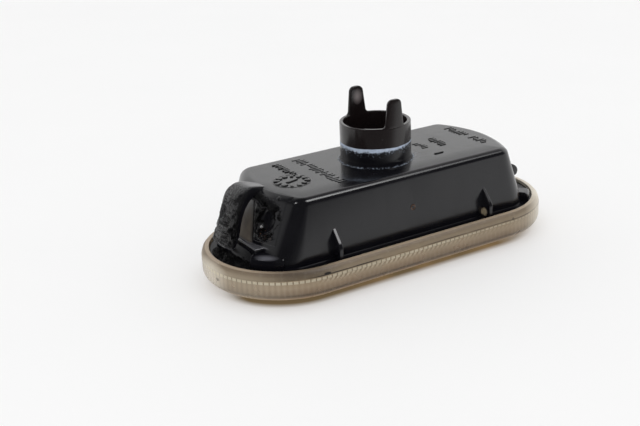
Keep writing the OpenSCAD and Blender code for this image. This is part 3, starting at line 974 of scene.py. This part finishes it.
def collar_shell():
    """The bulb collar: a tube with a soft rim, sunk into the back, with a small flare at its foot."""
    size = sizes()
    r, bore, top, back = size.collar_radius, size.bore_radius, size.collar_top, size.back_height
    soft = 0.22 * MM
    a = np.linspace(0, np.pi / 2, 5)
    section = np.vstack([
        [[bore, back - size.wall], [r, back - size.wall], [r + 0.45 * MM, back - 0.1 * MM],
         [r + 0.4 * MM, back + 0.12 * MM], [r + 0.12 * MM, back + 0.45 * MM], [r, back + 0.9 * MM]],
        np.stack([np.full(9, r), np.linspace(back + 1.5 * MM, top - soft - 0.1 * MM, 9)], axis=-1),
        np.stack([r - soft * (1 - np.cos(a)), top - soft * (1 - np.sin(a))], axis=-1),
        np.stack([bore + soft * (1 - np.sin(a)), top - soft * (1 - np.cos(a))], axis=-1),
        np.stack([np.full(8, bore), np.linspace(top - 0.6 * MM, back - 1.2 * MM, 8)], axis=-1)])
    return revolve(section, 180)


def ear_shell(side):
    """A guide ear: part of the collar's wall, tapering upwards, with a flared foot and a round tip.

    Its half width falls from foot to tip with height, and ends in a quarter circle on each side.
    """
    size = sizes()
    low, high = size.collar_top - 1.5 * MM, size.ear_top
    foot_half, tip_half, tip_round, flare = 2.7 * MM, 1.85 * MM, 1.2 * MM, 0.8 * MM
    z = np.concatenate([[low], np.linspace(size.collar_top - 0.1 * MM, size.collar_top + flare, 7),
                        np.linspace(size.collar_top + 1.2 * MM, high - tip_round, 10),
                        high - tip_round * (1 - np.sin(np.linspace(0, np.pi / 2, 10)[1:]))])
    t = np.clip((z - size.collar_top) / (high - size.collar_top), 0, 1)
    half = foot_half + (tip_half - foot_half) * t
    into_flare = np.clip((size.collar_top + flare - z) / flare, 0, 1)
    half = half + flare * (1 - np.sqrt(1 - into_flare ** 2))
    into_tip = np.clip((z - high + tip_round) / tip_round, 0, 1)
    half = half - tip_round * (1 - np.sqrt(1 - into_tip ** 2))
    u, v = squircle(40, 0.35)
    middle = (size.collar_radius + size.bore_radius) / 2
    thick = (size.collar_radius - size.bore_radius) / 2
    thin = thick * (1 - 0.25 * into_tip ** 3)
    angle = side * np.pi / 2 + u[None, :] * (half / middle)[:, None]
    r = middle + v[None, :] * thin[:, None]
    grid = np.stack([r * np.cos(angle), r * np.sin(angle), np.broadcast_to(z[:, None], r.shape)], axis=-1)
    return shell(grid)


def clip_shell():
    """The spring clip: a rounded strip carried up from its free end and over into the end wall's top.

    Its outer and inner curves are radius and height in millimetres, from the centre of the lamp's round
    end and from the clip's free end, and its outer face is pitted by noise. With it comes its torn field.
    """
    low = sizes().lens_height + 3.4 * MM
    outer = np.array([[18.0, 0], [17.7, 0.8], [16.9, 3.0], [16.2, 5.0], [15.4, 7.3], [14.6, 9.8],
                      [13.7, 11.7], [12.4, 12.9], [10.6, 13.5], [8.4, 13.2], [5.2, 12.3]])
    inner = np.array([[16.6, 0], [16.0, 0.9], [14.8, 2.9], [14.2, 4.7], [13.5, 6.5], [12.6, 8.1],
                      [11.6, 9.2], [10.5, 10.1], [9.3, 10.7], [7.7, 10.8], [5.2, 10.4]])
    half_angle = 5.0 / 17.0
    at = np.linspace(0, 1, 112)
    outer, inner = smooth_curve(outer, at), smooth_curve(inner, at)
    u, v = squircle(128, 0.25)
    half = np.full(len(at), half_angle)
    half[:5] *= 1 - 0.05 * (1 - np.linspace(0, 1, 5)) ** 2
    share = (v[None, :, None] + 1) / 2
    section = inner[:, None] * (1 - share) + outer[:, None] * share
    angle = u[None, :] * half[:, None]
    r, z = section[..., 0] * MM, section[..., 1] * MM + low
    end_x = end_centre()
    grid = np.stack([-end_x - r * np.cos(angle), -r * np.sin(angle), z], axis=-1)

    # Wear on the outer face: deep pits low down, from its middle to its near side, fainter up to the root
    face = np.clip((v - 0.2) / 0.5, 0, 1)[None, :] * np.ones((len(at), 1))
    s = at[:, None] + 0 * u[None, :]
    lower = np.clip((s - 0.06) / 0.1, 0, 1) * np.clip((0.56 - s) / 0.12, 0, 1)
    lower = lower * np.clip((u[None, :] + 0.35) / 0.4, 0, 1)
    worn = face * np.maximum(lower, 0.6 * np.clip((0.8 - s) / 0.2, 0, 1))
    pits = np.minimum(rough_noise(grid, 1.1 * MM, 23, 4), 0.15) * worn
    centre = np.stack([-end_x - 8 * MM * np.cos(angle), -8 * MM * np.sin(angle), z - 3 * MM], axis=-1)
    away = grid - centre
    away /= np.linalg.norm(away, axis=-1, keepdims=True)
    grid = grid + away * (pits * 0.55 * MM)[..., None]
    return shell(grid), np.concatenate([worn.ravel(), [0.5, 0.5]])


def smooth_curve(points, at):
    """Cubic curve through points at even steps from 0 to 1: slopes are half the neighbours' difference."""
    steps = len(points) - 1
    slope = np.gradient(points, axis=0)
    k = np.clip((at * steps).astype(int), 0, steps - 1)
    s = (at * steps - k)[:, None]
    return ((2 * s ** 3 - 3 * s ** 2 + 1) * points[k] + (s ** 3 - 2 * s ** 2 + s) * slope[k]
            + (3 * s ** 2 - 2 * s ** 3) * points[k + 1] + (s ** 3 - s ** 2) * slope[k + 1])


def gusset_shells():
    """Four gusset ribs: triangular plates with rounded edges between the long walls and the flange."""
    size = sizes()
    rim_in = size.lens_width / 2 - size.rim_wall - 0.3 * MM
    wall_y = size.back_half - 0.8 * MM
    base = size.lens_height - 1.2 * MM
    edge_height, rib_height, rib_x, half_thick, bevel = 4.1 * MM, 9.4 * MM, 22.7 * MM, 0.55 * MM, 0.25 * MM
    outline = rounded_outline([(wall_y, base), (rim_in, base), (rim_in, base + edge_height),
                               (wall_y, base + rib_height)], [0.1 * MM, 0.1 * MM, 0.9 * MM, 0.4 * MM])
    outline = resample(outline, 72)

    def rib(side, x):
        def place(points, depth):
            return np.column_stack([np.full(len(points), x + depth), side * points[:, 0], points[:, 1]])

        return slab(outline, -half_thick, half_thick, bevel, place)

    return [rib(side, x) for side in (-1, 1) for x in (-rib_x, rib_x)]


def arc_stop(centre_x, turn, length, outline):
    """A stop that follows a round end: its section, radius and height, is carried along the arc."""
    radius = outline[:, 0].max()

    def place(points, depth):
        a = turn + depth / radius
        r, z = points.T
        return np.column_stack([centre_x + r * np.cos(a), r * np.sin(a), z])

    section = resample(rounded_outline(outline, 0.4 * MM), 64)
    return slab(section, -length / 2, length / 2, 0.3 * MM, place, 12)


def cross_slab(outline, corner, count, half_width, bevel):
    """A bar across the lamp: its outline along X and up, in millimetres, with its corners cut round."""
    def place(points, depth):
        return np.column_stack([points[:, 0], np.full(len(points), depth), points[:, 1]])

    section = resample(rounded_outline(np.array(outline) * MM, corner), count)
    return slab(section, -half_width, half_width, bevel, place, 6)


def stop_shells():
    """Raised stops on the flange, the bar under the clip, and the fixed hook at the other end."""
    base = sizes().lens_height - 1.4 * MM
    left = np.array([(9, 0), (16.9, 0), (16.9, 1.9), (16.7, 2.7), (16.2, 3.3), (15.3, 3.8), (14.0, 4.0),
                     (9, 4.1)]) * MM + (0, base)
    right = np.array([(9, 0), (18.2, 0), (18.2, 2.2), (17.6, 2.8), (9, 3.0)]) * MM + (0, base)
    bar = [(-39.9, 7.6), (-37, 7.6), (-37, 12.6), (-40.4, 12.6), (-40.5, 11.0), (-39.9, 10.7)]
    hook = [(35, 7.6), (41.2, 7.6), (41.6, 11), (44.8, 11), (45.4, 12.3), (44.9, 13.5), (43.6, 14.4),
            (40.6, 15.2), (35, 15.2)]
    parts = [arc_stop(-end_centre(), np.pi + side * 0.79, 8.6 * MM, left) for side in (-1, 1)]
    parts += [arc_stop(end_centre(), side * 0.82, 4.3 * MM, right) for side in (-1, 1)]
    parts.append(cross_slab(bar, 0.25 * MM, 90, 8.6 * MM, 0.3 * MM))
    parts.append(cross_slab(hook, 0.6 * MM, 120, 3 * MM, 0.35 * MM))
    return parts


def bar_mark(x, y, length, width, turn=0.0, height=0.26 * MM):
    """One raised bar on the back, with rounded corners."""
    back = sizes().back_height
    outline = rounded_outline(np.array([(-length, -width), (length, -width), (length, width),
                                        (-length, width)]) / 2, width * 0.3)
    spin = np.array([[np.cos(turn), -np.sin(turn)], [np.sin(turn), np.cos(turn)]])
    outline = resample(outline, 18) @ spin.T + (x, y)

    def place(points, depth):
        return np.column_stack([points, np.full(len(points), back + depth)])

    return slab(outline, -0.2 * MM, height, 0.07 * MM, place)


def mark_shells():
    """Mould marks on the back: rows of plain bars, and a date dial of a ring, ticks and a pointer.

    Each row has its place along X, its two ends, the length of its bars and their height.
    """
    marks, faint = [], []
    random = np.random.default_rng(7)
    rows = ((-17.0, -10.2, 11.6, 3.0, 0.13), (-23.4, 1.0, 11.4, 2.1, 0.26), (14.6, -1.6, 3.2, 2.4, 0.14),
            (19.8, -2.6, 4.4, 2.7, 0.2), (29.5, -7.4, -1.2, 2.6, 0.16), (29.5, 0.9, 9.0, 2.6, 0.16))
    pitch, bar_width, faint_below = 1.05, 0.5 * MM, 0.15
    for x, start, end, length, height in rows:
        row = faint if height < faint_below else marks
        for y in np.arange(start, end, pitch):
            cut = random.uniform(0.55, 1.0)
            shift = (1 - cut) * length / 2 * random.choice([-1, 1])
            row.append(bar_mark((x + shift) * MM, y * MM, cut * length * MM, bar_width, 0.0, height * MM))
    marks.append(bar_mark(14.4 * MM, -7.4 * MM, 2.7 * MM, 0.55 * MM))

    dial_x, dial_y, dial_radius, ring_half = -26.2 * MM, -2.4 * MM, 4.6 * MM, 0.14 * MM
    a = np.linspace(0, 2 * np.pi, 96, endpoint=False)[:, None]
    u, v = squircle(16, 0.7)
    r = dial_radius + u[None, :] * ring_half + 0 * a
    z = np.broadcast_to(sizes().back_height - 0.06 * MM + v * ring_half, r.shape)
    ring = np.stack([dial_x + r * np.cos(a), dial_y + r * np.sin(a), z], axis=-1)
    marks.append(shell(ring, closed_rows=True))
    for turn in np.arange(0, 2 * np.pi, np.pi / 6):
        r = random.uniform(3.4, 3.8) * MM
        length = random.uniform(1.1, 1.8) * MM
        width = random.uniform(0.8, 1.3) * MM
        tilt = random.uniform(-0.5, 0.5)
        x, y = dial_x + r * np.cos(turn), dial_y + r * np.sin(turn)
        marks.append(bar_mark(x, y, length, width, turn + tilt))
    marks.append(bar_mark(dial_x, dial_y, 3.6 * MM, 0.8 * MM, 0.25))
    return marks, faint


def add_housing():
    """Builds the housing from its shells, with torn, pale and hole fields, and gives its marks a darker
    finish.
    """
    clip, clip_torn = clip_shell()
    patch, (patch_torn, patch_pale, patch_hole) = torn_patch()
    crumbs, crumbs_torn = flange_patch()
    marks, faint = mark_shells()
    plain = [housing_box(), collar_shell(), ear_shell(-1), ear_shell(1)]
    plain += gusset_shells() + stop_shells() + faint
    parts = [clip, patch, crumbs] + plain
    rest = np.zeros(sum(len(points) for points, faces in plain + marks))
    fields = {"torn": np.concatenate([clip_torn, patch_torn, crumbs_torn, rest]),
              "pale": np.concatenate([0 * clip_torn, patch_pale, 0 * crumbs_torn, rest]),
              "hole": np.concatenate([0 * clip_torn, patch_hole, 0 * crumbs_torn, rest])}
    housing = make_piece("housing_moulding", parts + marks, black_plastic(), 38, fields)
    housing.data.materials.append(mark_plastic())
    index = np.zeros(len(housing.data.polygons), dtype=np.int32)
    index[sum(len(faces) for points, faces in parts):] = 1
    housing.data.polygons.foreach_set("material_index", index)
    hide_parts("housing")
    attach(housing, "root")


# Studio: the camera's angles, and the direction away from it along the floor

AZIMUTH, ELEVATION, ROLL = np.radians([-30.66, 21.16, -2.67])
AWAY = np.array([-np.sin(AZIMUTH), np.cos(AZIMUTH)])


def white_paper():
    """White paper that glows a little, with the brown light and shadow along the lens's near side painted
    on it.

    To reflected rays it is dark in front of the lamp and brighter far behind it.
    """
    n = Nodes(bpy.data.materials.new("white paper"))
    x, y, _ = n.axes()
    mirrored = n.add("ShaderNodeLightPath").outputs["Is Glossy Ray"]
    distance = n.along((*AWAY, 0))
    unlit = n.times(mirrored, n.plus(n.times(n.rise(distance, -48, -80), 0.8), 0.07))
    behind = n.times(n.ramp(distance, 0.2, 0.5), mirrored, 0.2)

    # The painted brown light and the painted shadow under it follow the lens's outline; the light is more
    # yellow in patches towards the right
    past_centre = n.most(n.less(n.math("ABSOLUTE", x), end_centre()), 0.0)
    amber = n.times(n.rise(y, 0.0, -6.0), n.between(x, -49.0, -43.0, 26.0, 44.0),
                    n.rise(n.reach(past_centre, y), 19.6, 17.4))
    patchy = n.times(n.ramp(n.noise(60.0, 2.0), 0.4, 0.65), n.rise(x, -26.0, -14.0))
    glow = n.coat((0.36, 0.255, 0.13, 1.0), (0.62, 0.4, 0.19), patchy)
    paper = n.coat(n.mix(n.noise(14.0), grey(0.61), grey(0.59)), (0.12, 0.09, 0.05), amber)
    n.give("Base Color", n.coat(paper, grey(0.0), unlit))
    n.give("Emission Color", n.mix(amber, grey(1.0), glow))
    n.give("Emission Strength", n.plus(behind, n.times(n.less(1.0, unlit), 0.31)))
    n.give("Roughness", 0.8)
    n.give("Normal", n.bump(n.noise(700.0, 3.0), 0.1, 0.05 * MM))
    return n.block


def add_sheet():
    """A sheet of paper, turned to the camera.

    It is flat from in front of the lamp to its depth, then a quarter round of the bend's radius, then
    upright.
    """
    half, front, depth, rise, bend = 0.9, 0.12, 0.6, 0.9, 0.25
    rows, columns = 13, 60
    u = np.linspace(-half, half, rows)[:, None] + np.zeros((1, columns))
    run = np.linspace(-front, depth + rise, columns)[None, :] + np.zeros((rows, 1))
    turn = np.clip((run - depth) / (bend * np.pi / 2), 0, 1) * np.pi / 2
    v = np.minimum(run, depth) + bend * np.sin(turn)
    z = bend * (1 - np.cos(turn)) + np.maximum(run - depth - bend * np.pi / 2, 0)
    grid = np.stack([u * AWAY[1] + v * AWAY[0], v * AWAY[1] - u * AWAY[0], z], axis=-1)
    mesh = bpy.data.meshes.new("studio_sheet")
    mesh.from_pydata(grid.reshape(-1, 3).tolist(), [], grid_faces(rows, columns, False, False).tolist())
    mesh.shade_smooth()
    mesh.materials.append(white_paper())
    sheet = bpy.data.objects.new("studio_sheet", mesh)
    bpy.context.scene.collection.objects.link(sheet)


def light_room():
    """The world: even light on the lamp, and pale to the camera.

    To reflected rays it is a room that is dark in front and overhead, and bright behind and on the left.
    """
    world = bpy.data.worlds.new("studio")
    bpy.context.scene.world = world
    n = Nodes(world)
    rays = n.add("ShaderNodeLightPath").outputs
    height = n.along((0, 0, 1))
    behind = n.times(n.ramp(n.along((*AWAY, 0)), 0.0, 0.35), n.ramp(height, 0.92, 0.5))
    left = n.times(n.ramp(n.along((-AWAY[1], AWAY[0], 0)), 0.72, 0.95), n.ramp(height, 0.75, 0.5))
    room = n.plus(0.06, n.most(n.times(behind, 1.25), n.times(left, 0.45)))
    level = n.blend(rays["Is Glossy Ray"], 1.07, room)
    n.give("Color", grey(1.0))
    n.give("Strength", n.blend(rays["Is Camera Ray"], level, 0.94))


def add_lamps():
    """Lamps that show only in reflections. Each has its place, power in watts, breadth and length."""
    for name, place, power, breadth, length in (
            ("strip", (0.24, -0.32, 0.57), 1.3, 0.2, 0.3),
            ("faint strip", (0.38, -0.25, 0.57), 0.46, 0.2, 0.3),
            ("fleck lamp", (-0.4, -0.05, 0.5), 0.4, 0.1, 0.1)):
        light = bpy.data.lights.new(name, "AREA")
        light.shape = "RECTANGLE"
        light.size, light.size_y = breadth, length
        light.energy = power
        lamp = bpy.data.objects.new(name, light)
        lamp.location = place
        lamp.rotation_euler = (-Vector(place)).to_track_quat("-Z", "Y").to_euler()
        lamp.visible_diffuse = False
        bpy.context.scene.collection.objects.link(lamp)


def add_camera():
    """The camera, set by its angles, roll and distance from the point that it looks at."""
    target = np.array([-17.3, 0.0, 13.66]) * MM
    distance = 263.13 * MM
    focal_pixels, frame_width, sensor_mm = 1050, 640, 36
    back = np.array([np.sin(AZIMUTH) * np.cos(ELEVATION), -np.cos(AZIMUTH) * np.cos(ELEVATION),
                     np.sin(ELEVATION)])
    level = np.array([np.cos(AZIMUTH), np.sin(AZIMUTH), 0.0])
    upward = np.cross(back, level)
    right = level * np.cos(ROLL) + upward * np.sin(ROLL)
    up = upward * np.cos(ROLL) - level * np.sin(ROLL)
    data = bpy.data.cameras.new("camera")
    data.sensor_width = sensor_mm
    data.lens = focal_pixels / frame_width * sensor_mm
    data.clip_start = 0.01
    camera = bpy.data.objects.new("camera", data)
    place = Matrix(np.column_stack([right, up, back]).tolist()).to_4x4()
    place.translation = Vector(target + back * distance)
    camera.matrix_world = place
    bpy.context.scene.collection.objects.link(camera)
    bpy.context.scene.camera = camera


class LAMP_OT_studio(bpy.types.Operator):
    """Add the paper, the lights and the camera"""

    bl_idname = "lamp.studio"
    bl_label = "Studio"

    def execute(self, context):
        add_sheet()
        light_room()
        add_lamps()
        add_camera()
        context.scene.view_settings.view_transform = "Standard"
        return {"FINISHED"}


class LAMP_OT_housing(bpy.types.Operator):
    """Build the black housing with its collar, clip, hook, ribs and mould marks"""

    bl_idname = "lamp.housing"
    bl_label = "Housing"

    def execute(self, context):
        add_housing()
        return {"FINISHED"}


class LAMP_OT_lens(bpy.types.Operator):
    """Build the smoked lens with its crowned face and fluted wall"""

    bl_idname = "lamp.lens"
    bl_label = "Lens"

    def execute(self, context):
        add_lens()
        return {"FINISHED"}


class LAMP_OT_filter(bpy.types.Operator):
    """Give the amber filter its finish"""

    bl_idname = "lamp.filter"
    bl_label = "Amber filter"

    def execute(self, context):
        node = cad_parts["amber_filter"]
        node.data.materials.clear()
        node.data.materials.append(amber_plastic())
        return {"FINISHED"}


class LAMP_PT_panel(bpy.types.Panel):
    """Lists the lamp's pieces and its sizes"""

    bl_idname = "LAMP_PT_panel"
    bl_label = "Repeater Lamp"
    bl_space_type = "VIEW_3D"
    bl_region_type = "UI"
    bl_category = "Repeater Lamp"

    def draw(self, context):
        column = self.layout.column()
        for operator in OPERATORS:
            column.operator(operator.bl_idname)
        for name in LampSizes.__annotations__:
            column.prop(context.scene.lamp_sizes, name)
        for name in LampColours.__annotations__:
            column.prop(context.scene.lamp_colours, name)


OPERATORS = (LAMP_OT_studio, LAMP_OT_housing, LAMP_OT_lens, LAMP_OT_filter)
CLASSES = (LampSizes, LampColours) + OPERATORS + (LAMP_PT_panel,)


def register():
    """Registers the classes and puts the sizes and colours in the scene."""
    for cls in CLASSES:
        bpy.utils.register_class(cls)
    bpy.types.Scene.lamp_sizes = bpy.props.PointerProperty(type=LampSizes)
    bpy.types.Scene.lamp_colours = bpy.props.PointerProperty(type=LampColours)


def unregister():
    """Takes the classes and properties out again."""
    del bpy.types.Scene.lamp_colours
    del bpy.types.Scene.lamp_sizes
    for cls in reversed(CLASSES):
        bpy.utils.unregister_class(cls)


def main():
    """Builds the whole scene."""
    register()
    bpy.ops.lamp.studio()
    bpy.ops.lamp.housing()
    bpy.ops.lamp.lens()
    bpy.ops.lamp.filter()


if __name__ == "__main__":
    main()
